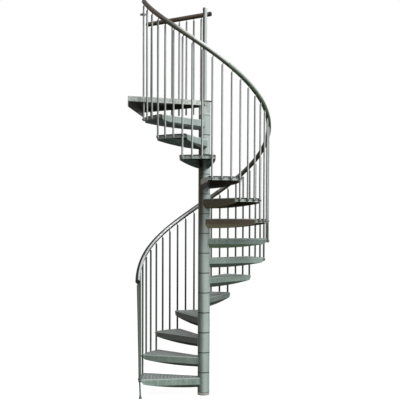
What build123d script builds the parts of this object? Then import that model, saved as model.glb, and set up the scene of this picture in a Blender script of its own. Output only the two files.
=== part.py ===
"""Galvanised steel spiral stair: fourteen folded treads, a wall landing and round-bar balustrades."""
import os
from math import atan2, cos, degrees, pi, radians, sin, sqrt, tan

from build123d import *

os.makedirs("parts", exist_ok=True)

# Lengths in millimetres, angles in degrees. Z is up, the column stands on the origin.

# The flight, which climbs clockwise seen from above
tread_count = 14
rise_height = 210.0
pitch_angle = 25.0
first_angle = 192.2
first_tread_top = 186.0
balusters_per_tread = 3

# Fits and cuts
fit_gap = 0.3
cut_overrun = 20.0

# The column: a base plate, an inner pole and the treads' hub sleeves around it
hub_d = 127.0
hub_wall = 6.0
hub_chamfer = 1.5
base_height = 29.0
pole_wall = 4.0

# A tread: one folded sheet, deep at the hub and shallow at the outer end
tread_sheet = 5.0
nosing_angle = 3.3
nosing_radius = 12.0
side_offset = 45.0
flange_hub_depth = 101.0
flange_end_depth = 53.0
flange_bulge = 14.0
flange_hub_cut = 12.0
flange_end_cut = 20.0
front_fold_hub_depth = 72.0
front_fold_end_depth = 67.0
back_fold_hub_depth = 60.0
back_fold_end_depth = 55.0
fold_angle = 28.0

# The strip under a tread's outer edge that carries the balusters
outer_lip = 8.0
lip_gap = 1.5
strip_sheet = 5.0
strip_depth = 39.0
hole_d = 11.0
hole_depth = 22.0
hole_spread = 25.0

# Balusters
baluster_circle_r = 680.0
baluster_d = 20.0
baluster_cap = 2.0
spacer_d = 15.0
pin_d = 9.0
pin_length = 18.0

# The spiral handrail: bent tubes, the lowest on a wider radius so that its end flares outward
rail_d = 50.0
rail_circle_r = 686.0
rail_flare_r = 935.0
rail_sections = 12
rail_start_angle = 1.5
rail_section_angle = 29.23
rail_height_foot = 1031.0
rail_height_head = 1006.0
cap_height = 12.0
cap_round = 9.0

# The starter post's foot
foot_rod_d = 17.0
foot_forward = 70.0
foot_pad_d = 36.0
foot_pad_height = 8.0
foot_boot_d = 28.0
foot_boot_length = 36.0

# The landing: a triangle with its point on the column and its long edge at the wall
landing_lead_angle = 27.5
landing_half_angle = 26.4
landing_reach = 750.0
landing_plate = 5.0
landing_front_flange = 53.0
landing_back_flange = 57.0
landing_wall_flange = 110.0
landing_apex_r = 79.0
landing_hole_gap = 3.0

# The landing's balustrade along its back edge, and the newel on the column
landing_baluster_count = 8
landing_baluster_below = 127.0
landing_baluster_first = 79.0
landing_baluster_step = 96.0
landing_rail_height = 948.0
landing_rail_past = 34.0
landing_rail_end = 807.0
newel_d = 48.0
newel_above_rail = 62.0
newel_crown = 8.0

# The wall fixing near the top of the last spiral baluster
fixing_d = 24.0
fixing_reach = 36.0
fixing_behind = 22.0
fixing_drop = 87.0
fixing_collar_d = 30.0

# Worked out from the sizes above
hub_r = hub_d / 2
bore_r = hub_r - hub_wall
pole_r = bore_r - fit_gap
baluster_r = baluster_d / 2
rail_r = rail_d / 2
newel_r = newel_d / 2
lip_r = baluster_circle_r - baluster_r - lip_gap
strip_r = lip_r - outer_lip
baluster_step = pitch_angle / balusters_per_tread
half_tread = pitch_angle / 2 + nosing_angle
last_baluster = tread_count * balusters_per_tread
landing_top = first_tread_top + tread_count * rise_height
landing_angle = first_angle - tread_count * pitch_angle - landing_lead_angle
landing_frame = Pos(0, 0, landing_top) * Rot(0, 0, landing_angle)
rail_offset = newel_r + fit_gap + rail_r
back_offset = rail_offset - baluster_r - fit_gap
rail_climb = tread_count * rise_height + rail_height_head - rail_height_foot
rail_slope = rail_climb / (tread_count * pitch_angle)
rail_lean = atan2(degrees(rail_slope), rail_circle_r)


def polar(radius, angle):
    """Plan point at a radius and bearing."""
    return Vector(radius * cos(radians(angle)), radius * sin(radians(angle)))


def lift(point, height):
    """Plan point raised to a height."""
    return Vector(point.X, point.Y, height)


def rod(start, end, diameter, seam=None):
    """Round bar between two points, with its seam line on the side that seam points to."""
    run = end - start
    place = Plane(origin=start, x_dir=seam, z_dir=run).location
    return place * extrude(Circle(diameter / 2), run.length)


def export(name, shape):
    export_step(shape, f"parts/{name}.step")


def sleeve(height):
    """Hub sleeve standing on z = 0, with eased ends."""
    tube = chamfer(extrude(Circle(hub_r), height).edges(), hub_chamfer)
    return tube - Pos(0, 0, -cut_overrun) * extrude(Circle(bore_r), height + 2 * cut_overrun)


def side_line(corner):
    """Where a tread's side edge leaves the hub, and its direction to the outer corner."""
    turn = degrees(atan2(side_offset, sqrt(lip_r ** 2 - side_offset ** 2)))
    bearing = half_tread - turn
    start = polar(side_offset, bearing + 90) + polar(sqrt(hub_r ** 2 - side_offset ** 2), bearing)
    return start, polar(1, bearing), (corner - start).length


def nosing(length):
    """Rounded bend along +X between the tread's top at z = 0 and its side face on y = 0."""
    ring = Circle(nosing_radius) - Circle(nosing_radius - tread_sheet)
    quarter = ring & Pos(nosing_radius / 2, nosing_radius / 2) * Rectangle(nosing_radius, nosing_radius)
    bend = extrude(Plane.YZ * quarter, length + cut_overrun)
    return Pos(0, -nosing_radius, -nosing_radius) * bend


def folded_flange(length, hub_fold, end_fold):
    """Side flange below the nosing, its face on y = 0, bent inward along a fold that rises outward."""
    slope = degrees(atan2(hub_fold - end_fold, length))
    lean = flange_hub_depth * tan(radians(fold_angle))
    skin = tread_sheet / cos(radians(fold_angle))
    bend = tread_sheet * tan(radians(fold_angle) / 2)
    section = Polyline(
        (0, flange_hub_depth), (0, 0), (-lean, -flange_hub_depth), (-lean - skin, -flange_hub_depth),
        (-tread_sheet, bend), (-tread_sheet, flange_hub_depth), close=True,
    )
    sheet = Pos(-cut_overrun, 0, 0) * extrude(Plane.YZ * make_face(section), length + 2 * cut_overrun)
    sheet = Pos(0, 0, -hub_fold) * Rot(0, -slope, 0) * sheet

    toe = (length - flange_end_cut, -flange_end_depth)
    middle = (length / 2, -(flange_hub_depth + flange_end_depth) / 2 - flange_bulge)
    heel = (flange_hub_cut, -flange_hub_depth)
    side = ThreePointArc(heel, middle, toe)
    side += Polyline(toe, (length, -nosing_radius), (0, -nosing_radius), (0, heel[1] + heel[0]), heel)
    depth = lean + skin + cut_overrun
    return sheet & Pos(0, cut_overrun, 0) * extrude(Plane.XZ * make_face(side), depth + cut_overrun)


def baluster_strip(inner_plan, plate_plan):
    """Strip along the outer edge, with a pair of spare holes beside each baluster."""
    ring = Circle(strip_r) - Circle(strip_r - strip_sheet)
    strip = Pos(0, 0, -strip_depth) * extrude(ring & inner_plan, strip_depth - nosing_radius)
    strip += Pos(0, 0, -nosing_radius) * extrude(ring & plate_plan, nosing_radius - tread_sheet)
    spread = degrees(hole_spread / strip_r)
    for i in range(balusters_per_tread + 1):
        for side in (-spread, spread):
            bearing = pitch_angle / 2 - i * baluster_step + side
            inner = lift(polar(strip_r - cut_overrun, bearing), -hole_depth)
            outer = lift(polar(strip_r + cut_overrun, bearing), -hole_depth)
            strip -= rod(inner, outer, hole_d)
    return strip


def tread():
    """One tread on its own sleeve: local +X is its middle, z = 0 its top."""
    corner = polar(lip_r, half_tread)
    far_corner = polar(lip_r, -half_tread)
    start, run, length = side_line(corner)
    edge = Line(start, corner)
    edge += ThreePointArc(corner, polar(lip_r, 0), far_corner)
    edge += Polyline(far_corner, (start.X, -start.Y), start)
    plan = make_face(edge)

    frame = Plane(origin=start, x_dir=run, z_dir=(0, 0, 1)).location
    band = frame * Pos(length / 2, 0) * Rectangle(length + 2 * cut_overrun, 2 * nosing_radius)
    rim = frame * Pos(length / 2, 0) * Rectangle(length + 2 * cut_overrun, 2 * tread_sheet)
    plate_plan = plan - band - mirror(band, Plane.XZ)
    inner_plan = plan - rim - mirror(rim, Plane.XZ)
    plate = Pos(0, 0, -tread_sheet) * extrude(plate_plan, tread_sheet)

    reach = Pos(0, 0, -2 * flange_hub_depth) * extrude(Circle(lip_r), 2 * flange_hub_depth)
    bend = nosing(length)
    front = frame * (bend + folded_flange(length, front_fold_hub_depth, front_fold_end_depth)) & reach
    back = frame * (bend + folded_flange(length, back_fold_hub_depth, back_fold_end_depth)) & reach
    body = plate + front + mirror(back, Plane.XZ) + baluster_strip(inner_plan, plate_plan)

    below = rise_height + base_height - first_tread_top
    hub = Pos(0, 0, below - rise_height) * sleeve(rise_height)
    bore = Pos(0, 0, -2 * flange_hub_depth) * extrude(Circle(bore_r), 3 * flange_hub_depth)
    return hub + (body - bore)


def baluster_angle(number):
    return first_angle - number * baluster_step


def tread_z(number):
    """Top of a tread, counted from 1."""
    return first_tread_top + (number - 1) * rise_height


def rail_z(turned):
    """Height of the handrail's centre line after turning up the stair from the first baluster."""
    return first_tread_top + rail_height_foot + turned * rail_slope


flare_end = rail_section_angle - rail_start_angle
flare_centre = polar(rail_circle_r - rail_flare_r, first_angle - flare_end)
flare_share = rail_circle_r / rail_flare_r


def rail_point(turned):
    """Centre of the handrail and its plan direction uphill, a turn above the first baluster."""
    if turned >= flare_end:
        bearing = first_angle - turned
        centre = polar(rail_circle_r, bearing)
    else:
        bearing = first_angle - flare_end + (flare_end - turned) * flare_share
        centre = flare_centre + polar(rail_flare_r, bearing)
    return lift(centre, rail_z(turned)), polar(1, bearing - 90)


def baluster_axis(number, lowest):
    """Foot of a baluster's bar on its lowest tread, its head, and the direction square to the rail there."""
    reach = rail_r + fit_gap + pin_length
    back = degrees(reach * sin(rail_lean) / rail_circle_r)
    centre, ahead = rail_point(number * baluster_step - back)
    up = lift(ahead * -sin(rail_lean), cos(rail_lean))
    foot = lift(polar(baluster_circle_r, baluster_angle(number)), tread_z(lowest) - strip_depth)
    return foot, centre - up * reach, up


def along_bar(foot, head, height):
    """Point on a bar's axis at a height."""
    return foot + (head - foot) * ((height - foot.Z) / (head.Z - foot.Z))


def baluster(number, treads):
    """Bar from the lowest of its treads to the handrail, with a spacer at each of those treads."""
    foot, head, up = baluster_axis(number, treads[0])
    bar = rod(foot, head, baluster_d, seam=polar(1, baluster_angle(number)))
    bar = chamfer(bar.edges().group_by(Axis.Z)[-1], baluster_cap)
    bar += rod(head - up * baluster_r, head + up * pin_length, pin_d)
    for carrier in treads:
        height = tread_z(carrier) - hole_depth
        seat = lift(polar(strip_r + fit_gap, baluster_angle(number)), height)
        bar += rod(seat, along_bar(foot, head, height), spacer_d)
    return bar


def flight_baluster(number):
    """A baluster of the flight: one at a nosing is fixed to two treads."""
    owner = number // balusters_per_tread + 1
    if number % balusters_per_tread:
        return baluster(number, [owner])
    if number == last_baluster:
        return baluster(number, [owner - 1])
    return baluster(number, [owner - 1, owner])


def starter_post():
    """First baluster, carried forward to the floor on a thinner rod and a pad."""
    foot, _, _ = baluster_axis(0, 1)
    ground = lift(foot - polar(foot_forward, first_angle - 90), 0)
    pad = extrude(Circle(foot_pad_d / 2), foot_pad_height)
    stem = rod(lift(ground, foot_pad_height), foot, foot_rod_d)
    seat = lift(ground, foot_boot_d / 2 * foot_forward / (foot - ground).length + fit_gap)
    upward = (Align.CENTER, Align.CENTER, Align.MIN)
    boot = Cone(foot_boot_d / 2, foot_rod_d / 2, foot_boot_length, align=upward)
    boot = Plane(origin=seat, z_dir=foot - seat).location * boot
    return baluster(0, [1]) + stem + boot + Pos(ground.X, ground.Y, 0) * pad


def rail_path(number):
    """Centre line of one bent length of the handrail, uphill."""
    turned = number * rail_section_angle - rail_start_angle
    angle = rail_section_angle
    radius = rail_circle_r
    centre = Vector(0, 0)
    bearing = first_angle - turned
    if number == 0:
        angle *= flare_share
        radius = rail_flare_r
        centre = flare_centre
        bearing = first_angle - flare_end + angle
    climb = rail_slope * rail_section_angle
    path = Helix(2 * pi / radians(angle) * climb, climb, radius, lefthand=True)
    return Pos(centre.X, centre.Y, rail_z(turned)) * Rot(0, 0, bearing) * path


def handrail_section(number):
    path = rail_path(number)
    return sweep(Plane(origin=path @ 0, z_dir=path % 0) * Circle(rail_r), path=path, is_frenet=True)


def end_cap(end, outward):
    """Domed plug on a rail's end face."""
    cap = extrude(Circle(rail_r), cap_height)
    return Plane(origin=end, z_dir=outward).location * fillet(cap.edges().group_by(Axis.Z)[-1], cap_round)


def landing_corner(side):
    """Wall corner of a landing side edge that passes the column at an offset."""
    spread = radians(landing_half_angle)
    return Vector(landing_reach, side / cos(spread) + landing_reach * tan(spread))


def landing_skirt(start, end, depth, plan):
    """Flange under one straight edge of the landing."""
    along = (end - start).normalized()
    inward = Vector(along.Y, -along.X) * landing_plate
    band = make_face(Polyline(start, end, end + inward, start + inward, close=True))
    return Pos(0, 0, -depth) * extrude(band & plan, depth - landing_plate)


def landing():
    """Landing plate with a flange under each of its three edges, and its hub."""
    spread = landing_half_angle
    front = landing_corner(side_offset)
    back = landing_corner(back_offset)
    back = Vector(back.X, -back.Y)
    front_start = polar(side_offset, spread + 90)
    back_start = polar(back_offset, -spread - 90)
    plan = make_face(Polyline(front_start, front, back, back_start, close=True))
    plate = Pos(0, 0, -landing_plate) * extrude(plan + Circle(landing_apex_r), landing_plate)
    skirts = landing_skirt(front_start, front, landing_front_flange, plan)
    skirts += landing_skirt(front, back, landing_wall_flange, plan)
    skirts += landing_skirt(back, back_start, landing_back_flange, plan)
    hub_height = first_tread_top - base_height - landing_plate
    hub = Pos(0, 0, -landing_plate - hub_height) * sleeve(hub_height)
    bore = Pos(0, 0, -landing_plate - hub_height) * extrude(Circle(bore_r), hub_height)
    shape = landing_frame * (plate + (skirts - bore) + hub)
    foot, head, _ = baluster_axis(last_baluster, tread_count)
    return shape - rod(foot, head, baluster_d + 2 * landing_hole_gap)


def along_back(distance):
    """Plan point along the landing's back edge, under the rail, in the landing's own frame."""
    return polar(distance, -landing_half_angle) + polar(rail_offset, -landing_half_angle - 90)


def landing_balusters():
    bars = []
    top = landing_rail_height - rail_r - fit_gap
    for i in range(landing_baluster_count):
        plan = along_back(landing_baluster_first + i * landing_baluster_step)
        bar = rod(lift(plan, -landing_baluster_below), lift(plan, top - pin_length), baluster_d)
        bar = chamfer(bar.edges().group_by(Axis.Z)[-1], baluster_cap)
        bars.append(landing_frame * (bar + rod(lift(plan, top - pin_length), lift(plan, top), pin_d)))
    return Compound(bars)


def newel():
    post = extrude(Circle(newel_r), landing_rail_height + newel_above_rail)
    return Pos(0, 0, landing_top) * fillet(post.edges().group_by(Axis.Z)[-1], newel_crown)


def wall_fixing():
    """Stub across the last spiral baluster, square to the wall, that ties the handrail to it."""
    foot, head, _ = baluster_axis(last_baluster, tread_count)
    middle = along_bar(foot, head, head.Z - fixing_drop)
    along = (head - foot).normalized() * fixing_d
    to_wall = polar(1, landing_angle)
    stub = rod(middle - to_wall * fixing_behind, middle + to_wall * fixing_reach, fixing_d)
    collar = rod(middle - along / 2, middle + along / 2, fixing_collar_d)
    return stub + collar - rod(middle - along, middle + along, baluster_d + 2 * fit_gap)


base = extrude(Circle(hub_r), base_height)
export("base_plate", chamfer(base.edges().group_by(Axis.Z)[-1], hub_chamfer))

pole_height = landing_top - landing_plate - base_height
pole = extrude(Circle(pole_r) - Circle(pole_r - pole_wall), pole_height)
export("centre_pole", Pos(0, 0, base_height) * pole)

one_tread = tread()
for n in range(1, tread_count + 1):
    middle_angle = first_angle - (n - 1) * pitch_angle - pitch_angle / 2
    export(f"tread_{n:02d}", Pos(0, 0, tread_z(n)) * Rot(0, 0, middle_angle) * one_tread)

export("starter_post", starter_post())
for n in range(1, tread_count + 1, 2):
    first = (n - 1) * balusters_per_tread
    numbers = range(max(first, 1), first + 2 * balusters_per_tread)
    export(f"balusters_{n:02d}_{n + 1:02d}", Compound([flight_baluster(i) for i in numbers]))
export("landing_newel_baluster", flight_baluster(last_baluster))

for n in range(rail_sections):
    export(f"handrail_{n + 1:02d}", handrail_section(n))

export("landing", landing())
export("landing_balusters", landing_balusters())
rail_ends = [lift(along_back(d), landing_rail_height) for d in (-landing_rail_past, landing_rail_end)]
export("landing_rail", landing_frame * rod(*rail_ends, rail_d))
rail_run = rail_ends[1] - rail_ends[0]
lowest, highest = rail_path(0), rail_path(rail_sections - 1)
caps = [end_cap(lowest @ 0, lowest % 0 * -1), end_cap(highest @ 1, highest % 1)]
caps.append(landing_frame * end_cap(rail_ends[0], rail_run * -1))
caps.append(landing_frame * end_cap(rail_ends[1], rail_run))
export("rail_end_caps", Compound(caps))
export("newel_post", newel())
export("wall_fixing", wall_fixing())
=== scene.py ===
"""Looks of a galvanised spiral stair: weathered zinc with painted light and shade, ribs, bolts, welds and
joint rings.
"""

import math
import random

import bpy
from mathutils import Matrix, Vector


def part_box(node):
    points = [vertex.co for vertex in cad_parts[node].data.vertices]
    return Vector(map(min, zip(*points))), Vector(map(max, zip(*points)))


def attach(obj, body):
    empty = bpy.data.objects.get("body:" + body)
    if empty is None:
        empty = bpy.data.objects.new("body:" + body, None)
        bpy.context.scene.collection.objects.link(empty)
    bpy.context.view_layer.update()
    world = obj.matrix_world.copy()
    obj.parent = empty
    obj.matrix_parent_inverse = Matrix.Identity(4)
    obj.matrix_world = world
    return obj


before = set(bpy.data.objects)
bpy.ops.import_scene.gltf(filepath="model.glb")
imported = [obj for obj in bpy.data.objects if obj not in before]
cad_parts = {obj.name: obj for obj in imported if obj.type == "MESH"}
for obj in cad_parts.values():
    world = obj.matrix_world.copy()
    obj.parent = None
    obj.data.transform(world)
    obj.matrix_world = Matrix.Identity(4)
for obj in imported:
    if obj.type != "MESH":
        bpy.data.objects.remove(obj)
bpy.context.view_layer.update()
random.seed(14)

# Driving sizes of the stair, in metres and degrees, as in the CAD frame
TREADS = 14
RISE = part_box("tread_02")[0].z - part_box("tread_01")[0].z
PITCH = 25.0
FIRST_ANGLE = 192.2
BALUSTERS_PER_TREAD = 3
HUB_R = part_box("base_plate")[1].x
BASE_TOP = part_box("base_plate")[1].z
NOSING_ANGLE = 3.3
SIDE_OFFSET = 0.045
RIB_FIRST = 0.14
RIB_PITCH = 0.038
FLANGE_DEPTH = 0.101
NOSING_R = 0.012
LIP_R = 0.6685
STRIP_R = 0.6605
STRIP_SHEET = 0.005
STRIP_MIDDLE = 0.022
BALUSTER_CIRCLE = 0.680
BALUSTER_R = 0.010
RAIL_R = 0.025
RAIL_CIRCLE = 0.686
RAIL_FLARE = 0.935
RAIL_SECTIONS = 12
RAIL_START = 1.5
RAIL_SECTION = 29.23
RAIL_FOOT = 1.031
RAIL_HEAD = 1.006
PIN_LENGTH = 0.018
LANDING_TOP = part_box("landing")[1].z
LANDING_TURN = 27.5
LANDING_HALF = 26.4
LANDING_REACH = 0.75
LANDING_SIDE = 0.038

FIRST_TOP = LANDING_TOP - TREADS * RISE
LANDING_ANGLE = FIRST_ANGLE - TREADS * PITCH - LANDING_TURN
STEP = PITCH / BALUSTERS_PER_TREAD
LAST = TREADS * BALUSTERS_PER_TREAD
FLIGHT = TREADS * PITCH
RAIL_SLOPE = (TREADS * RISE + RAIL_HEAD - RAIL_FOOT) / FLIGHT
RAIL_LEAN = math.atan2(math.degrees(RAIL_SLOPE), RAIL_CIRCLE)
UP = Vector((0, 0, 1))


def polar(radius, angle, height=0.0):
    """Point at a radius, bearing in degrees and height."""
    turn = math.radians(angle)
    return Vector((radius * math.cos(turn), radius * math.sin(turn), height))


def tread_top(number):
    """Height of a tread's top, counted from 1."""
    return FIRST_TOP + (number - 1) * RISE


def tread_middle(number):
    """Bearing of a tread's middle, counted from 1."""
    return FIRST_ANGLE - (number - 0.5) * PITCH


# Mesh building: every piece is a set of closed lofts


class Loft:
    """Collects closed lofted shapes into one mesh."""

    def __init__(self):
        self.verts = []
        self.faces = []

    def add(self, loops, ring=False):
        """Skin of equal loops of points, capped at both ends, or closed into a ring."""
        first = len(self.verts)
        count = len(loops[0])
        for loop in loops:
            self.verts.extend(loop)
        spans = len(loops) if ring else len(loops) - 1
        for i in range(spans):
            near = first + i * count
            far = first + (i + 1) % len(loops) * count
            for j in range(count):
                k = (j + 1) % count
                self.faces.append((near + j, near + k, far + k, far + j))
        if not ring:
            last = first + (len(loops) - 1) * count
            self.faces.append(tuple(reversed(range(first, first + count))))
            self.faces.append(tuple(range(last, last + count)))

    def piece(self, name, material, smooth_angle):
        """Makes the object, rides it on the stair and gives it its finish."""
        mesh = bpy.data.meshes.new(name)
        mesh.from_pydata([tuple(v) for v in self.verts], [], self.faces)
        mesh.materials.append(material)
        mesh.validate()
        obj = bpy.data.objects.new(name, mesh)
        bpy.context.scene.collection.objects.link(obj)
        mesh.shade_smooth()
        mesh.set_sharp_from_angle(angle=math.radians(smooth_angle))
        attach(obj, "root")


def across(axis):
    """Two directions square to an axis and to each other."""
    side = axis.cross(UP) if abs(axis.z) < 0.9 else axis.cross(Vector((1, 0, 0)))
    side.normalize()
    return side, axis.cross(side).normalized()


def turned_loops(centre, axis, profile, sides=24, shape=None):
    """Loops of a turned shape: the profile holds (distance along the axis, radius) pairs."""
    u, v = across(axis)
    loops = []
    for along, radius in profile:
        loop = []
        for i in range(sides):
            turn = 2 * math.pi * i / sides
            r = min(radius, shape(turn)) if shape else radius
            loop.append(centre + axis * along + (u * math.cos(turn) + v * math.sin(turn)) * r)
        loops.append(loop)
    return loops


def hexagon(flat_r):
    """Radius of a hexagon with that inner radius at each turn."""
    sixth = math.pi / 3
    return lambda turn: flat_r / math.cos(turn % sixth - sixth / 2)


def add_bolt(loft, seat, axis, washer_r, flat_r, head):
    """Washer and hexagon head, seated at a point and pointing along an axis."""
    thick = washer_r / 6
    edge = thick / 4
    washer = [(-thick, washer_r), (thick - edge, washer_r), (thick, washer_r - edge)]
    loft.add(turned_loops(seat, axis, washer))
    corner = flat_r / math.cos(math.pi / 6)
    crown = head + thick
    shoulder = crown - head / 5
    dome = crown + head / 20
    profile = [(thick, corner), (shoulder, corner), (crown, flat_r * 0.94), (dome, flat_r / 2)]
    loft.add(turned_loops(seat, axis, profile, shape=hexagon(flat_r)))


def add_stud(loft, seat, axis, radius, length):
    """Plain rounded bolt end."""
    profile = [(0, radius), (length * 0.8, radius), (length, radius * 0.7)]
    loft.add(turned_loops(seat, axis, profile, sides=12))


# Places on the handrail


FLARE_END = RAIL_SECTION - RAIL_START
FLARE_CENTRE = polar(RAIL_CIRCLE - RAIL_FLARE, FIRST_ANGLE - FLARE_END)


def rail_point(turned):
    """Centre of the handrail, its direction uphill and the direction square to it, upward."""
    if turned >= FLARE_END:
        bearing = FIRST_ANGLE - turned
        centre = polar(RAIL_CIRCLE, bearing)
    else:
        bearing = FIRST_ANGLE - FLARE_END + (FLARE_END - turned) * RAIL_CIRCLE / RAIL_FLARE
        centre = FLARE_CENTRE + polar(RAIL_FLARE, bearing)
    centre.z = FIRST_TOP + RAIL_FOOT + turned * RAIL_SLOPE
    ahead = polar(1, bearing - 90)
    uphill = ahead * math.cos(RAIL_LEAN) + UP * math.sin(RAIL_LEAN)
    square = UP * math.cos(RAIL_LEAN) - ahead * math.sin(RAIL_LEAN)
    return centre, uphill, square


# Colours


def rgb(red, green, blue):
    """Opaque colour."""
    return red, green, blue, 1.0


RUST = rgb(0.16, 0.105, 0.07)
# Near-black green: dirt in the sleeve joints, and painted shade under things and along plate edges.
GRIME_AND_SHADE = rgb(0.028, 0.036, 0.026)
# Painted shade colours for treads turned from the light:
BLACK_SHADE = rgb(0.012, 0.011, 0.006)
BROWN_SHADE = rgb(0.19, 0.118, 0.068)
GREY_SHADE = rgb(0.13, 0.135, 0.125)
# Painted shade on handrails: toward the wall, and on the upper side of the top section.
SLATE_SHADE = rgb(0.08, 0.078, 0.075)
# Painted highlight on the front handrail.
HIGHLIGHT_WHITE = rgb(0.82, 0.84, 0.83)
PALE = rgb(0.50, 0.62, 0.565)
DARK = rgb(0.32, 0.41, 0.365)
# Darker grey laid on what faces up.
TOP_GREY = rgb(0.27, 0.27, 0.285)
RAIL_TOP = rgb(0.3, 0.31, 0.3)
RAIL_BROWN = rgb(0.145, 0.125, 0.1)
# Painted highlight on handrail sections that turn toward the front.
TURN_HIGHLIGHT = rgb(0.64, 0.67, 0.65)

# Facings and directions that several finishes share
TOP_FACING = (0.9, 0.99)
TURN_FACING = (0.25, 0.85)
OPEN_SIDE = (0.45, -0.45, 0.77)


# Node trees


class Tree:
    """A node tree with short calls for what the scene needs."""

    def __init__(self, tree):
        self.tree = tree

    def node(self, kind, *ordered, **named):
        """New node: inputs in order or by name are set or linked, and other names set properties."""
        made = self.tree.nodes.new(kind)
        for key, value in named.items():
            if key in made.inputs:
                self.put(made.inputs[key], value)
            else:
                setattr(made, key, value)
        for socket, value in zip(made.inputs, ordered):
            self.put(socket, value)
        return made

    def put(self, socket, value):
        """Links a socket or sets its value."""
        if isinstance(value, bpy.types.NodeSocket):
            self.tree.links.new(value, socket)
        else:
            socket.default_value = value

    def math(self, operation, a, b=0.0, c=0.0):
        return self.node("ShaderNodeMath", a, b, c, operation=operation).outputs[0]

    def dot(self, a, b):
        return self.node("ShaderNodeVectorMath", a, b, operation="DOT_PRODUCT").outputs["Value"]

    def ramp(self, value, low, high, to_low=0.0, to_high=1.0, kind="SMOOTHSTEP"):
        """Step of a value between two bounds, smooth unless another kind is named."""
        made = self.node("ShaderNodeMapRange", value, low, high, to_low, to_high, interpolation_type=kind)
        return made.outputs[0]

    def overlap(self, mask, *others):
        """Where all the masks meet."""
        for other in others:
            mask = self.math("MULTIPLY", mask, other)
        return mask

    def seen(self):
        """1 for rays that show the thing or its reflection, 0 for rays that gather light."""
        rays = self.node("ShaderNodeLightPath").outputs
        reflected = self.math("MAXIMUM", rays["Is Glossy Ray"], rays["Is Transmission Ray"])
        return self.math("MAXIMUM", rays["Is Camera Ray"], reflected)


class Finish(Tree):
    """A material on the standard shader, with textures placed in the stair's frame."""

    # Sockets of a mix node that hold colours
    MIX_A, MIX_B, MIX_RESULT = 6, 7, 2

    def __init__(self, name):
        self.material = bpy.data.materials.new(name)
        self.material.use_nodes = True
        super().__init__(self.material.node_tree)
        self.shader = self.tree.nodes["Principled BSDF"]
        self.place = self.node("ShaderNodeTexCoord").outputs["Object"]

    def noise(self, scale, detail=3.0, stretch=None, rough=0.55):
        place = self.place
        if stretch:
            place = self.node("ShaderNodeMapping", Vector=place, Scale=stretch).outputs[0]
        made = self.node("ShaderNodeTexNoise", Vector=place, Scale=scale, Detail=detail, Roughness=rough)
        return made.outputs[0]

    def mix(self, amount, a, b, blend="MIX"):
        made = self.node("ShaderNodeMix", amount, data_type="RGBA", blend_type=blend)
        self.put(made.inputs[self.MIX_A], a)
        self.put(made.inputs[self.MIX_B], b)
        return made.outputs[self.MIX_RESULT]

    def bump(self, height, strength, distance):
        made = self.node("ShaderNodeBump", Strength=strength, Distance=distance, Height=height)
        self.put(self.shader.inputs["Normal"], made.outputs[0])


class Zinc(Finish):
    """Weathered hot-dip zinc: spangle, cloudy patches, vertical runs and some brown stain."""

    def __init__(self, name, pale, dark, rust=0.0, rough=0.5, specular=0.15,
                 flakes=75.0, sparkle=0.22, relief=0.18):
        super().__init__(name)
        spangle = self.node("ShaderNodeTexVoronoi", Vector=self.place, Scale=flakes).outputs["Color"]
        grain = self.node("ShaderNodeSeparateColor", Color=spangle).outputs[0]
        cloud = self.noise(5.0, 5.0)
        runs = self.noise(2.0, 4.0, stretch=(22.0, 22.0, 1.6))
        patch = self.math("ADD", self.math("MULTIPLY", cloud, 0.6), self.math("MULTIPLY", runs, 0.4))
        self.colour = self.mix(self.ramp(patch, 0.36, 0.64), dark, pale)
        self.tone(self.math("MULTIPLY_ADD", grain, sparkle, 1.0 - sparkle / 2))
        spots = self.noise(3.4, 6.0, stretch=(1.0, 1.0, 0.6), rough=0.7)
        wider = 0.3 * rust
        self.cover(self.ramp(spots, 0.62 - wider, 0.78 - wider), min(1.0, 0.2 + rust), RUST)
        self.rough = self.math("MULTIPLY_ADD", cloud, 0.22, rough - 0.11)
        self.shader.inputs["Specular IOR Level"].default_value = specular
        fine = self.math("ADD", self.noise(160.0, 3.0), self.math("MULTIPLY", grain, 0.4))
        self.bump(fine, relief, 0.0008)

        self.normal = self.node("ShaderNodeNewGeometry").outputs["Normal"]
        self.normal_z = self.node("ShaderNodeSeparateXYZ", Vector=self.normal).outputs[2]
        self.x, self.y, self.z = self.node("ShaderNodeSeparateXYZ", Vector=self.place).outputs
        x_square = self.math("MULTIPLY", self.x, self.x)
        y_square = self.math("MULTIPLY", self.y, self.y)
        self.radius = self.math("SQRT", self.math("ADD", x_square, y_square))

    def tone(self, factor):
        """Darkens or lightens the colour."""
        grey = self.node("ShaderNodeCombineColor", Red=factor, Green=factor, Blue=factor).outputs[0]
        self.colour = self.mix(1.0, self.colour, grey, "MULTIPLY")

    def facing(self, direction):
        """How squarely the surface faces a direction: 1 square to it, 0 along it."""
        return self.dot(self.normal, Vector(direction).normalized())

    def cover(self, mask, amount, colour):
        """Lays a colour over what is there."""
        self.colour = self.mix(self.math("MULTIPLY", mask, amount), self.colour, colour)

    def shaded_underside(self, amount=0.85, start=-0.2, full=-0.55, shade_colour=GRIME_AND_SHADE):
        """Painted shade on what faces down, between two values of the normal's height; those faces are
        also made dull.
        """
        # Painted shade, laid on down-facing surfaces.
        under = self.ramp(self.normal_z, start, full)
        self.cover(under, amount, shade_colour)
        self.rough = self.math("MAXIMUM", self.rough, under)

    def done(self):
        """The finished material."""
        self.put(self.shader.inputs["Base Color"], self.colour)
        self.put(self.shader.inputs["Roughness"], self.rough)
        return self.material


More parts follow.
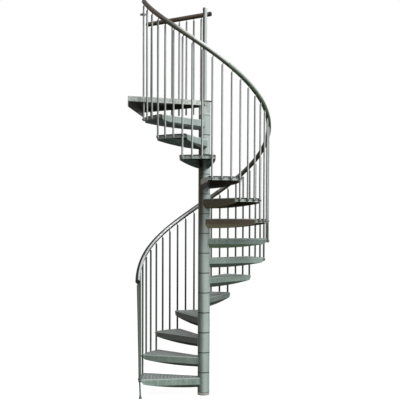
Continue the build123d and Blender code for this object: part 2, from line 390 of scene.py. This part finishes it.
class TreadZinc(Zinc):
    """Zinc of a tread with its hub sleeve and strip."""

    def __init__(self, name):
        super().__init__(name, PALE, DARK, rust=0.06)
        skin, strip_margin = 0.001, 0.015
        high_heights = (2.5, 2.8)
        self.on_hub = self.math("LESS_THAN", self.radius, HUB_R + skin)
        self.off_hub = self.math("SUBTRACT", 1.0, self.on_hub)
        self.at_edge = self.math("GREATER_THAN", self.radius, STRIP_R - skin)
        inside_strip = self.math("LESS_THAN", self.radius, STRIP_R - strip_margin)
        self.flange = self.overlap(self.off_hub, inside_strip)
        self.high = self.ramp(self.z, *high_heights)

    def flange_light_and_shade(self, stain, dirt):
        """Painted light and shade on plate and flanges, which are paler near the landing."""
        # Painted light and shade laid on plate and flanges at the given amount and colour.
        if stain:
            self.cover(self.flange, stain, dirt)
        # Painted light: the flanges paler near the landing.
        self.cover(self.overlap(self.flange, self.high), 0.5, rgb(0.72, 0.8, 0.8))

    def hub_light_and_shade(self):
        """Sleeve: painted light growing with height, a painted highlight toward the light, painted shade
        on the shaded side (dark brown at middle heights) and low on the lit side.
        """
        lit_heights, head_heights, low_heights = (0.9, 1.6), (2.7, 3.0), (0.9, 0.3)
        middle_starts, middle_ends = (1.45, 1.98), (2.8, 2.4)
        shaded_x, brown_shade_x, lit_x = (0.005, -0.055), (0.018, -0.035), (0.005, 0.06)
        light_side = (0.4, -0.9, 0)

        # Painted light: the sleeve paler higher up.
        pale = self.overlap(self.on_hub, self.ramp(self.z, *lit_heights))
        self.cover(pale, self.ramp(self.z, *head_heights, 0.75, 0.6), rgb(0.72, 0.79, 0.78))
        # Painted highlight on the side toward the light, stronger at middle heights.
        highlit = self.overlap(self.on_hub, self.ramp(self.facing(light_side), 0.72, 1.0))
        self.cover(highlit, 0.6, rgb(0.78, 0.84, 0.83))
        # Painted shade on the shaded side, dark brown at middle heights.
        shaded = self.overlap(self.on_hub, self.ramp(self.x, *shaded_x))
        self.cover(shaded, 0.85, rgb(0.13, 0.135, 0.12))
        middle = self.overlap(self.ramp(self.z, *middle_starts), self.ramp(self.z, *middle_ends))
        self.cover(self.overlap(highlit, middle), 0.95, rgb(0.86, 0.94, 0.92))
        brown_shade = self.overlap(self.on_hub, self.ramp(self.x, *brown_shade_x))
        self.cover(self.overlap(brown_shade, middle), 0.9, rgb(0.09, 0.07, 0.048))
        # Painted shade low down on the lit side.
        low = self.overlap(self.ramp(self.x, *lit_x), self.ramp(self.z, *low_heights))
        self.cover(self.overlap(self.on_hub, low), 0.4, rgb(0.27, 0.33, 0.3))

    def grey_top_and_bend_highlight(self):
        """Darker grey on what faces up, with a paler ring at each rib, and a painted highlight on the
        bends at its edges.
        """
        bend_starts, bend_ends = (0.15, 0.45), (0.99, 0.9)
        past_rib = self.math("SUBTRACT", self.radius, RIB_FIRST)
        ring = self.math("COSINE", self.math("MULTIPLY", past_rib, 2 * math.pi / RIB_PITCH))
        top = self.ramp(self.normal_z, *TOP_FACING)
        # Darker grey on what faces up, away from the hub.
        self.cover(self.overlap(top, self.off_hub), 0.75, TOP_GREY)
        self.tone(self.math("MULTIPLY_ADD", self.overlap(ring, top), 0.14, 1.0))
        # Painted highlight on the bends, which face partly up.
        bend = self.overlap(self.ramp(self.normal_z, *bend_starts), self.ramp(self.normal_z, *bend_ends))
        self.cover(self.overlap(bend, self.off_hub), 0.45, rgb(0.74, 0.78, 0.77))

    def sleeve_joints(self):
        """Uneven dark line where one sleeve stands on the next, fainter higher up."""
        line, soft_line, unevenness = 0.0015, 0.005, 0.004
        faint_heights = (1.2, 1.7)
        above = self.math("SUBTRACT", self.z, BASE_TOP - RISE / 2)
        beat = self.math("FRACT", self.math("DIVIDE", above, RISE))
        off_joint = self.math("ABSOLUTE", self.math("MULTIPLY", self.math("SUBTRACT", beat, 0.5), RISE))
        wobble = self.math("MULTIPLY", self.noise(40.0), unevenness)
        joint = self.ramp(self.math("SUBTRACT", off_joint, wobble), line, soft_line, 1.0, 0.0)
        strength = self.ramp(self.z, *faint_heights, 0.92, 0.6)
        self.cover(self.overlap(joint, self.on_hub), strength, GRIME_AND_SHADE)

    def strip_light_shade_and_brown(self):
        """Strip: paler with height as painted light, brown near the landing, painted shade along the
        plate's edge.
        """
        lit_heights = (1.4, 1.7)
        shade_depths = (0.008, 0.012)
        fall = self.math("FRACT", self.math("DIVIDE", self.math("SUBTRACT", FIRST_TOP, self.z), RISE))
        shallow = self.ramp(self.math("MULTIPLY", fall, RISE), *shade_depths, 1.0, 0.0)
        upright = self.math("LESS_THAN", self.normal_z, 0.5)
        # Painted light: the strip paler higher up.
        self.cover(self.overlap(self.at_edge, self.ramp(self.z, *lit_heights)), 0.7, rgb(0.78, 0.83, 0.8))
        self.cover(self.overlap(self.at_edge, self.high), 0.8, rgb(0.17, 0.13, 0.09))
        # Painted shade where the plate's lip overhangs the top of the strip.
        self.cover(self.overlap(self.at_edge, shallow, upright), 0.9, GRIME_AND_SHADE)


# Finishes


def zinc(name, pale, dark, **finish):
    """Plain weathered zinc with painted shade on its underside."""
    made = Zinc(name, pale, dark, **finish)
    made.shaded_underside()
    return made.done()


def tread_zinc(name, stain=0.0, dirt=BROWN_SHADE, below=GRIME_AND_SHADE, fold=None):
    """Tread with painted light and shade on its flanges and painted shade below; fold colours the flanges'
    bent lower edges with painted light.
    """
    made = TreadZinc(name)
    made.flange_light_and_shade(stain, dirt)
    made.hub_light_and_shade()
    made.grey_top_and_bend_highlight()
    made.sleeve_joints()
    made.strip_light_shade_and_brown()
    if fold:
        bent_facing, level_facing = (-0.2, -0.4), (-0.75, -0.95)
        bent = made.overlap(made.flange, made.ramp(made.normal_z, *bent_facing))
        # Painted light from below on the flanges' bent lower edges.
        made.cover(bent, 0.92, fold)
        made.shaded_underside(0.92, *level_facing, below)
    else:
        made.shaded_underside(0.92, shade_colour=below)
    return made.done()


def rail_zinc(name, pale, dark, crown, sky=(0, 0, 1), bounds=(0.38, 0.8), wall_x=None, front_y=None,
              brown_x=None, brown_y=None, polish=0.0, **finish):
    """Handrail zinc: a painted highlight on the side open to the sky, dull elsewhere, painted shade below.

    wall_x, front_y, brown_x and brown_y each hold two places. Between them the rail gets painted shade
    toward the wall, a painted highlight toward the front, or turns brown toward the next section.
    """
    made = Zinc(name, pale, dark, rough=0.4, specular=0.04, sparkle=0.1, relief=0.04, **finish)
    # The crown colour is painted on the side facing sky: a painted highlight on most sections, painted
    # shade on the top one.
    highlit = made.ramp(made.facing(sky), *bounds)
    if wall_x:
        open_sky = made.ramp(made.x, *wall_x)
        highlit = made.overlap(highlit, open_sky)
        # Painted shade on the side toward the wall.
        made.cover(made.math("SUBTRACT", 1.0, open_sky), 0.65, SLATE_SHADE)
    made.cover(highlit, 0.92, crown)
    if front_y:
        open_side = made.ramp(made.facing(OPEN_SIDE), *TURN_FACING)
        # Painted highlight toward the front.
        made.cover(made.overlap(open_side, made.ramp(made.y, *front_y)), 0.92, TURN_HIGHLIGHT)
    for place, ends in ((made.x, brown_x), (made.y, brown_y)):
        if ends:
            made.cover(made.ramp(place, *ends), 0.9, RAIL_BROWN)
    made.cover(made.ramp(made.normal_z, 0.95, 1.0), 0.5, RAIL_TOP)
    if polish:
        made.put(made.shader.inputs["Metallic"], made.math("MULTIPLY", highlit, polish))
    made.shaded_underside(0.5, -0.2, -0.9)
    return made.done()


def landing_finish():
    """Landing: bright spangled outside, painted shade on the faces inside its tray."""
    made = Zinc("landing_zinc", rgb(0.84, 0.86, 0.83), rgb(0.58, 0.61, 0.58),
                rust=0.05, flakes=48.0, sparkle=0.4)
    middle_r, middle_drop, skin = 0.4, 0.06, 0.002
    facing_middle = (0.0, 0.03)
    middle = polar(middle_r, LANDING_ANGLE, LANDING_TOP - middle_drop)
    inward = made.node("ShaderNodeVectorMath", middle, made.place, operation="SUBTRACT").outputs[0]
    toward_middle = made.ramp(made.dot(inward, made.normal), *facing_middle)
    beside_hub = made.math("GREATER_THAN", made.radius, HUB_R + skin)
    # Painted shade on the tray's inner faces, those turned toward its middle.
    made.cover(made.overlap(toward_middle, beside_hub), 0.95, rgb(0.05, 0.05, 0.032))
    made.cover(made.ramp(made.normal_z, *TOP_FACING), 0.75, TOP_GREY)
    made.shaded_underside(0.6)
    return made.done()


def bar_finish():
    """Bars: a painted highlight on the side toward the light, brownish on the other, and painted shade,
    greener and darker, low down and at the back.
    """
    made = Zinc("bar_zinc", rgb(0.235, 0.21, 0.19), rgb(0.14, 0.125, 0.11),
                rust=0.1, rough=0.45, specular=0.02)
    light_side = (0.9, -0.4, 0.2)
    shade_heights, dark_heights, behind_y = (2.5, 1.8), (1.8, 0.9), (0.3, 0.6)
    # Painted highlight on the side toward the light.
    made.cover(made.ramp(made.facing(light_side), 0.05, 0.65), 0.9, rgb(0.82, 0.85, 0.86))
    open_sky = made.math("MULTIPLY_ADD", made.y, -0.45, made.math("MULTIPLY_ADD", made.x, 0.5, made.z))
    # Painted shade, greener and darker, lower down and toward the back.
    made.cover(made.ramp(open_sky, *shade_heights), 0.85, rgb(0.115, 0.15, 0.12))
    behind = made.overlap(made.ramp(made.y, *behind_y), made.ramp(made.z, *dark_heights))
    # Painted shade, near black, on the bars at the back low down.
    made.cover(behind, 0.9, rgb(0.02, 0.026, 0.02))
    made.shaded_underside()
    return made.done()


def plug_plastic():
    """Scuffed black plastic of the plugs in the rails' ends."""
    made = Finish("plug_plastic")
    scuff = made.ramp(made.noise(60.0, 5.0, rough=0.7), 0.45, 0.75)
    colour = made.mix(scuff, rgb(0.012, 0.013, 0.012), rgb(0.04, 0.042, 0.04))
    made.put(made.shader.inputs["Base Color"], colour)
    made.put(made.shader.inputs["Roughness"], made.math("MULTIPLY_ADD", scuff, 0.2, 0.42))
    made.shader.inputs["Specular IOR Level"].default_value = 0.2
    made.bump(made.noise(400.0, 2.0), 0.1, 0.0004)
    return made.material


# Tread copies: painted shade on the flanges to suit how each tread faces the light, brown-tinted on treads
# 9 to 11, painted light on tread 7, and painted light on the folds of treads 8 to 10.
plate_zinc = tread_zinc("tread_zinc")
lit_fold_zinc = tread_zinc("tread_zinc_lit_fold", fold=rgb(0.185, 0.257, 0.163))
brown_shade_zinc = tread_zinc("tread_zinc_brown_shade", 0.85, fold=rgb(0.41, 0.375, 0.235))
umber_shade_zinc = tread_zinc("tread_zinc_umber_shade", 0.98, rgb(0.062, 0.048, 0.017), BLACK_SHADE,
                        fold=rgb(0.096, 0.087, 0.034))
shaded_zinc = tread_zinc("tread_zinc_shaded", 0.85, rgb(0.15, 0.1, 0.07), BLACK_SHADE)
faint_shade_zinc = tread_zinc("tread_zinc_faint_shade", 0.4, GREY_SHADE)
grey_shade_zinc = tread_zinc("tread_zinc_grey_shade", 0.62, GREY_SHADE)
deep_shade_zinc = tread_zinc("tread_zinc_deep_shade", 0.95, GREY_SHADE)
dark_shade_zinc = tread_zinc("tread_zinc_dark_shade", 0.95, rgb(0.055, 0.055, 0.05))
lit_flange_zinc = tread_zinc("tread_zinc_lit_flange", 0.4, rgb(0.64, 0.75, 0.7))
landing_zinc = landing_finish()
bar_zinc = bar_finish()
# Handrail sections: a dark base, and the third colour painted as a highlight on the side toward the light;
# on the top section it is painted shade.
low_rail = rail_zinc("rail_zinc_low",
                     rgb(0.07, 0.078, 0.07), rgb(0.03, 0.034, 0.03), rgb(0.88, 0.9, 0.89),
                     sky=(0.55, -0.75, 0.37), bounds=(0.85, 0.96), polish=0.7)
end_rail = rail_zinc("rail_zinc_end",
                     rgb(0.05, 0.052, 0.05), rgb(0.02, 0.022, 0.02), rgb(0.88, 0.9, 0.89),
                     sky=(0.72, -0.55, 0.42), bounds=(0.7, 0.92), polish=0.7)
rising_rail = rail_zinc("rail_zinc_rising",
                        rgb(0.07, 0.078, 0.07), rgb(0.03, 0.034, 0.03), rgb(0.86, 0.88, 0.87),
                        sky=(0.4, -0.83, 0.33), bounds=(0.84, 0.97), polish=0.6)
middle_rail = rail_zinc("rail_zinc_middle",
                        rgb(0.08, 0.085, 0.075), rgb(0.04, 0.044, 0.04), rgb(0.6, 0.62, 0.61),
                        sky=(0, -1, 0.05), bounds=(0.84, 0.99), brown_x=(-0.08, 0.15))
back_rail = rail_zinc("rail_zinc_back",
                      rgb(0.18, 0.155, 0.125), rgb(0.1, 0.09, 0.065), rgb(0.42, 0.39, 0.34),
                      sky=(-0.2, -0.85, 0.45), bounds=(0.6, 0.97), rust=0.1)
side_rail = rail_zinc("rail_zinc_side",
                      rgb(0.32, 0.385, 0.285), rgb(0.2, 0.25, 0.175), rgb(0.42, 0.45, 0.43),
                      front_y=(-0.33, -0.45), brown_y=(-0.08, 0.2))
turn_rail = rail_zinc("rail_zinc_turn",
                      rgb(0.27, 0.335, 0.25), rgb(0.155, 0.2, 0.145), TURN_HIGHLIGHT,
                      sky=OPEN_SIDE, bounds=TURN_FACING)
front_rail = rail_zinc("rail_zinc_front",
                       rgb(0.24, 0.235, 0.2), rgb(0.15, 0.15, 0.125), HIGHLIGHT_WHITE,
                       sky=OPEN_SIDE, bounds=(0.3, 0.58), rust=0.05)
wall_rail = rail_zinc("rail_zinc_wall",
                      rgb(0.32, 0.285, 0.245), rgb(0.2, 0.175, 0.145), rgb(0.62, 0.62, 0.61),
                      sky=OPEN_SIDE, bounds=(0.4, 0.75), wall_x=(-0.34, -0.14), rust=0.1)
top_rail = rail_zinc("rail_zinc_top",
                     rgb(0.25, 0.185, 0.14), rgb(0.15, 0.11, 0.08), SLATE_SHADE,
                     bounds=(0.1, 0.55), rust=0.1)
base_zinc = zinc("base_zinc", rgb(0.62, 0.6, 0.59), rgb(0.45, 0.44, 0.43), rust=0.05)
bolt_zinc = zinc("bolt_zinc", rgb(0.3, 0.32, 0.31), rgb(0.12, 0.13, 0.12),
                 rust=0.2, rough=0.4, specular=0.3)
seam_dirt = zinc("seam_dirt", rgb(0.1, 0.11, 0.1), rgb(0.04, 0.045, 0.04), rough=0.6)
plugs = plug_plastic()

OWN_FINISH = {
    "tread_02": faint_shade_zinc,
    "tread_03": deep_shade_zinc,
    "tread_04": dark_shade_zinc,
    "tread_05": grey_shade_zinc,
    "tread_07": lit_flange_zinc,
    "tread_08": lit_fold_zinc,
    "tread_09": brown_shade_zinc,
    "tread_10": umber_shade_zinc,
    "tread_11": shaded_zinc,
    "handrail_01": end_rail,
    "handrail_03": rising_rail,
    "handrail_04": middle_rail,
    "handrail_05": back_rail,
    "handrail_06": back_rail,
    "handrail_07": side_rail,
    "handrail_08": side_rail,
    "handrail_09": turn_rail,
    "handrail_10": front_rail,
    "handrail_11": wall_rail,
    "handrail_12": top_rail,
    "landing_rail": top_rail,
    "rail_end_caps": plugs,
    "landing": landing_zinc,
    "base_plate": base_zinc,
    "centre_pole": plate_zinc,
}


def node_material(name):
    """Finish of a CAD node: its own, or else that of its kind."""
    if name in OWN_FINISH:
        return OWN_FINISH[name]
    if name.startswith("tread_"):
        return plate_zinc
    if name.startswith("handrail_"):
        return low_rail
    return bar_zinc


for node_name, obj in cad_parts.items():
    obj.data.materials.clear()
    obj.data.materials.append(node_material(node_name))


# Details on treads, landing and handrail


def add_rib(loft, radius, start, end, top):
    """Low round-topped rib along an arc about the column, tapered at its ends."""
    half, height, sunk = 0.0035, 0.0018, 0.0005
    arch = [(-1, 0), (-0.75, 0.7), (0, 1), (0.75, 0.7), (1, 0)]
    steps = 14
    loops = []
    for i in range(steps + 1):
        bearing = start + (end - start) * i / steps
        taper = 0.25 if i in (0, steps) else 1.0
        loop = [polar(radius + half * a * taper, bearing, top + height * h * taper) for a, h in arch]
        loop += [polar(radius + half * a * taper, bearing, top - sunk) for a in (1, -1)]
        loops.append(loop)
    loft.add(loops)


def tread_ribs():
    """Ribs across each tread, concentric with the column."""
    loft = Loft()
    inset = 0.02
    for number in range(1, TREADS + 1):
        middle = tread_middle(number)
        radius = RIB_FIRST
        while radius < LIP_R - RIB_PITCH / 2:
            side_turn = math.degrees(math.asin(SIDE_OFFSET / LIP_R) - math.asin(SIDE_OFFSET / radius))
            half = PITCH / 2 + NOSING_ANGLE - side_turn - math.degrees((inset + NOSING_R) / radius)
            add_rib(loft, radius, middle - half, middle + half, tread_top(number))
            radius += RIB_PITCH
    loft.piece("tread_ribs", plate_zinc, 60.0)


def landing_ribs():
    """The same ribs on the landing, ended short of its edges and of the last spiral baluster."""
    loft = Loft()
    inset, shortest = 0.022, 2.0
    reach = LANDING_REACH - inset
    corner = LANDING_REACH / math.cos(math.radians(LANDING_HALF))
    bar = FIRST_ANGLE - LAST * STEP - LANDING_ANGLE
    radius = RIB_FIRST
    while radius < corner - inset:
        front = back = LANDING_HALF + math.degrees(math.asin((LANDING_SIDE - inset) / radius))
        if abs(radius - BALUSTER_CIRCLE) < 2 * BALUSTER_R:
            front = bar - math.degrees(3 * BALUSTER_R / radius)
        gap = math.degrees(math.acos(reach / radius)) if radius > reach else 0.0
        spans = [(-back, -gap), (gap, front)] if gap else [(-back, front)]
        for start, end in spans:
            if end - start > shortest:
                add_rib(loft, radius, LANDING_ANGLE + start, LANDING_ANGLE + end, LANDING_TOP)
        radius += RIB_PITCH
    loft.piece("landing_ribs", plate_zinc, 60.0)


def baluster_seats():
    """Each place where a baluster is fixed to a tread: (baluster number, tread number)."""
    seats = []
    for number in range(LAST + 1):
        owner = number // BALUSTERS_PER_TREAD + 1
        if number < LAST:
            seats.append((number, owner))
        if number % BALUSTERS_PER_TREAD == 0 and number > 0:
            seats.append((number, owner - 1))
    return seats


def baluster_bolts():
    """Hexagon bolt through each baluster and strip, with a nut behind the strip."""
    loft = Loft()
    washer_r, flat_r, head = 0.0095, 0.0075, 0.007
    sunk = 0.0015
    stud_r, stud_length = 0.005, 0.014
    for number, carrier in baluster_seats():
        bearing = FIRST_ANGLE - number * STEP
        height = tread_top(carrier) - STRIP_MIDDLE
        outward = polar(1, bearing)
        outer = polar(BALUSTER_CIRCLE + BALUSTER_R - sunk, bearing, height)
        add_bolt(loft, outer, outward, washer_r, flat_r, head)
        inner = polar(STRIP_R - STRIP_SHEET, bearing, height)
        add_bolt(loft, inner, -outward, washer_r, flat_r, head)
        add_stud(loft, inner, -outward, stud_r, stud_length)
    loft.piece("baluster_bolts", bolt_zinc, 30.0)


def weld_bead(bearing, low, high):
    """Loops of an uneven upright bead on the sleeve, thin at both ends."""
    bead_r, sides, ripple, steps = 0.0035, 8, 0.004, 24
    loops = []
    for i in range(steps + 1):
        height = low + (high - low) * i / steps
        swell = 0.85 + 0.15 * math.cos(height / ripple * math.pi)
        bulge = bead_r * (swell + random.uniform(-0.08, 0.08))
        if i in (0, steps):
            bulge = bead_r / 3
        centre = polar(HUB_R, bearing, height)
        loops.append([centre + polar(bulge, 360 * j / sides) for j in range(sides)])
    return loops


def hub_welds():
    """Weld beads where each tread's side flanges meet its sleeve."""
    loft = Loft()
    short_of_foot = 0.014
    reach = math.degrees(math.asin(SIDE_OFFSET / HUB_R))
    turn = math.degrees(math.asin(SIDE_OFFSET / LIP_R))
    for number in range(1, TREADS + 1):
        top = tread_top(number)
        for side in (-1, 1):
            bearing = tread_middle(number) + side * (PITCH / 2 + NOSING_ANGLE - turn + reach)
            loft.add(weld_bead(bearing, top - FLANGE_DEPTH + short_of_foot, top - NOSING_R))
    loft.piece("hub_welds", plate_zinc, 80.0)


def rail_joints():
    """Thin dark ring at each joint of the spiral handrail."""
    loft = Loft()
    half_width, proud, sides = 0.0022, 0.0006, 40
    band = ((-1, -proud), (-0.7, proud), (0.7, proud), (1, -proud))
    for number in range(1, RAIL_SECTIONS):
        centre, uphill, _ = rail_point(number * RAIL_SECTION - RAIL_START)
        u, v = across(uphill)
        loops = []
        for i in range(sides):
            turn = 2 * math.pi * i / sides
            out = u * math.cos(turn) + v * math.sin(turn)
            loops.append([centre + out * (RAIL_R + lift) + uphill * half_width * along
                          for along, lift in band])
        loft.add(loops, ring=True)
    loft.piece("rail_joint_rings", seam_dirt, 60.0)


def rail_saddles():
    """Small collar around each pin where it meets the handrail."""
    loft = Loft()
    collar_r, collar_height, sunk = 0.0075, 0.006, 0.002
    reach = RAIL_R + PIN_LENGTH
    back = math.degrees(reach * math.sin(RAIL_LEAN) / RAIL_CIRCLE)
    profile = [(0, collar_r), (collar_height * 0.6, collar_r), (collar_height, collar_r * 0.75)]
    for number in range(LAST + 1):
        centre, _, square = rail_point(number * STEP - back)
        seat = centre - square * (RAIL_R - sunk)
        loft.add(turned_loops(seat, -square, profile, sides=16))
    loft.piece("rail_saddles", bar_zinc, 40.0)


def landing_set_screw():
    """Set screw in the landing's sleeve."""
    loft = Loft()
    angle, drop, radius, length, sunk = -90.3, 0.052, 0.0075, 0.005, 0.002
    seat = polar(HUB_R - sunk, angle, LANDING_TOP - drop)
    profile = [(0, radius), (length * 0.8, radius), (length, radius * 0.8)]
    loft.add(turned_loops(seat, polar(1, angle), profile, sides=16))
    loft.piece("landing_set_screw", seam_dirt, 30.0)


tread_ribs()
landing_ribs()
baluster_bolts()
hub_welds()
rail_joints()
rail_saddles()
landing_set_screw()


# Floor, light and camera


def floor_white(fade_start, fade_end):
    """Bright where it is seen, dim where it only gives light, and clear toward its rim."""
    material = bpy.data.materials.new("floor_white")
    material.use_nodes = True
    made = Tree(material.node_tree)
    made.tree.nodes.clear()
    pale = made.node("ShaderNodeBsdfDiffuse", Color=rgb(0.32, 0.32, 0.32)).outputs[0]
    glow = made.node("ShaderNodeEmission", Strength=0.92).outputs[0]
    bright = made.node("ShaderNodeAddShader", pale, glow).outputs[0]
    dim = made.node("ShaderNodeBsdfDiffuse", Color=rgb(0.16, 0.16, 0.15)).outputs[0]
    shown = made.node("ShaderNodeMixShader", made.seen(), dim, bright).outputs[0]
    place = made.node("ShaderNodeTexCoord").outputs["Object"]
    reach = made.node("ShaderNodeVectorMath", place, operation="LENGTH").outputs["Value"]
    clear = made.node("ShaderNodeBsdfTransparent").outputs[0]
    fade = made.ramp(reach, fade_start, fade_end)
    soft = made.node("ShaderNodeMixShader", fade, shown, clear).outputs[0]
    made.node("ShaderNodeOutputMaterial", Surface=soft)
    return material


def disc_floor():
    """Pale round floor that fades into the white background."""
    radius, sides, drop = 3.2, 96, 0.0005
    mesh = bpy.data.meshes.new("floor")
    rim = [tuple(polar(radius, 360 * i / sides)) for i in range(sides)]
    mesh.from_pydata(rim, [], [tuple(range(sides))])
    obj = bpy.data.objects.new("floor", mesh)
    bpy.context.scene.collection.objects.link(obj)
    obj.location.z = -drop
    mesh.materials.append(floor_white(radius * 0.25, radius * 0.98))


def white_world():
    """White where it is seen or reflected; as light a soft sky, brighter to the right and in front."""
    bright_side = Vector((0.55, -0.6, 0.58)).normalized()
    world = bpy.data.worlds.new("studio")
    bpy.context.scene.world = world
    world.use_nodes = True
    made = Tree(world.node_tree)
    made.tree.nodes.clear()
    way = made.node("ShaderNodeTexCoord").outputs["Generated"]
    height = made.node("ShaderNodeSeparateXYZ", way).outputs[2]
    lobe = made.ramp(made.dot(way, bright_side), 0.0, 1.0, 0.25, 1.2)
    horizon = made.ramp(height, -0.1, 0.3, 0.1, 1.0, kind="LINEAR")
    sky = made.math("MULTIPLY", lobe, horizon)
    dim = made.node("ShaderNodeBackground", Color=rgb(0.95, 1.0, 0.97), Strength=sky).outputs[0]
    white = made.node("ShaderNodeBackground", Color=rgb(1, 1, 1), Strength=1.0).outputs[0]
    shown = made.node("ShaderNodeMixShader", made.seen(), dim, white).outputs[0]
    made.node("ShaderNodeOutputWorld", Surface=shown)


def area_light(name, place, target, side, power):
    """Square soft lamp at a place, turned toward a target."""
    light = bpy.data.lights.new(name, "AREA")
    light.shape = "RECTANGLE"
    light.size = light.size_y = side
    light.energy = power
    obj = bpy.data.objects.new(name, light)
    bpy.context.scene.collection.objects.link(obj)
    obj.location = place
    obj.rotation_euler = (Vector(target) - Vector(place)).to_track_quat("-Z", "Y").to_euler()


def camera():
    """Camera at the photograph's place: an eye 8 m in front, turned, tilted and rolled a little."""
    eye = Vector((0.1197, -8.0248, 1.8688))
    yaw, pitch, roll = -0.02054, 0.02447, 0.0043
    focal_px, frame_px, sensor = 750.63, 400.0, 36.0
    forward = Vector((math.sin(yaw) * math.cos(pitch), math.cos(yaw) * math.cos(pitch), math.sin(pitch)))
    right = Vector((math.cos(yaw), -math.sin(yaw), 0))
    above = right.cross(forward)
    rolled = right * math.cos(roll) + above * math.sin(roll)
    upright = above * math.cos(roll) - right * math.sin(roll)
    data = bpy.data.cameras.new("camera")
    data.sensor_fit = "HORIZONTAL"
    data.sensor_width = sensor
    data.lens = sensor * focal_px / frame_px
    obj = bpy.data.objects.new("camera", data)
    bpy.context.scene.collection.objects.link(obj)
    turn = Matrix((rolled, upright, -forward)).transposed().to_4x4()
    obj.matrix_world = Matrix.Translation(eye) @ turn
    bpy.context.scene.camera = obj


disc_floor()
white_world()
area_light("key", (4.8, -3.6, 6.2), (0, 0, 2.4), side=3.0, power=135.0)
area_light("overhead", (0.3, -0.6, 9.5), (0, 0, 2.0), side=3.0, power=190.0)
camera()
bpy.context.scene.view_settings.view_transform = "Standard"
